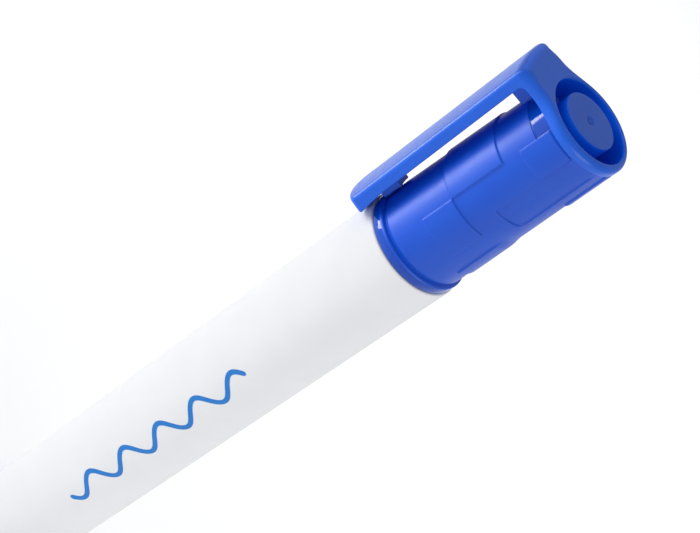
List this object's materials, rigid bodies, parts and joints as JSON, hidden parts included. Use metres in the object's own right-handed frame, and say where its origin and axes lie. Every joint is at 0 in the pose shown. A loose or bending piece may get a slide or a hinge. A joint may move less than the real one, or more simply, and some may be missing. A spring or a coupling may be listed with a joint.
{
  "type": "whiteboard marker",
  "caption": "Round bullet-tip whiteboard marker: plain white barrel, push-on blue cap with raised panels, a sprung pocket clip and a vented end.",
  "frame": {"origin": "centre of the end plug's flat base, which the marker stands on", "axes": "+Z along the marker from the end plug to the cap; +X from the marker's axis to the pocket clip"},
  "size_m": [0.0206, 0.017, 0.137],
  "materials": {
    "barrel_white": "satin moulded white plastic with a printed blue mark",
    "cap_blue": "satin moulded blue plastic with a fine spark texture",
    "holder_white": "satin moulded white plastic",
    "nib_fibre": "pressed fibre wet with ink",
    "reservoir_fibre": "bonded fibre soaked with ink",
    "wrap_film": "clear thin film",
    "liner_blue": "smooth moulded blue plastic"
  },
  "bodies": {
    "barrel": {"barrel": "barrel_white", "end_plug": "cap_blue", "nib_holder": "holder_white", "nib": "nib_fibre", "ink_reservoir": "reservoir_fibre", "reservoir_wrap": "wrap_film"},
    "cap": {"cap_shell": "cap_blue", "cap_liner": "liner_blue"},
    "clip": {"pocket_clip": "cap_blue"}
  },
  "joints": [
    {"name": "cap_pull", "type": "slide", "parent": "barrel", "child": "cap", "axis": [0, 0, 1], "range_m": [0, 0.045]},
    {"name": "clip_flex", "type": "hinge", "parent": "cap", "child": "clip", "pos_m": [0.01093, 0, 0.13115], "axis": [0, -1, 0], "range_deg": [0, 5], "stiffness_Nm_per_rad": 1.5}
  ]
}
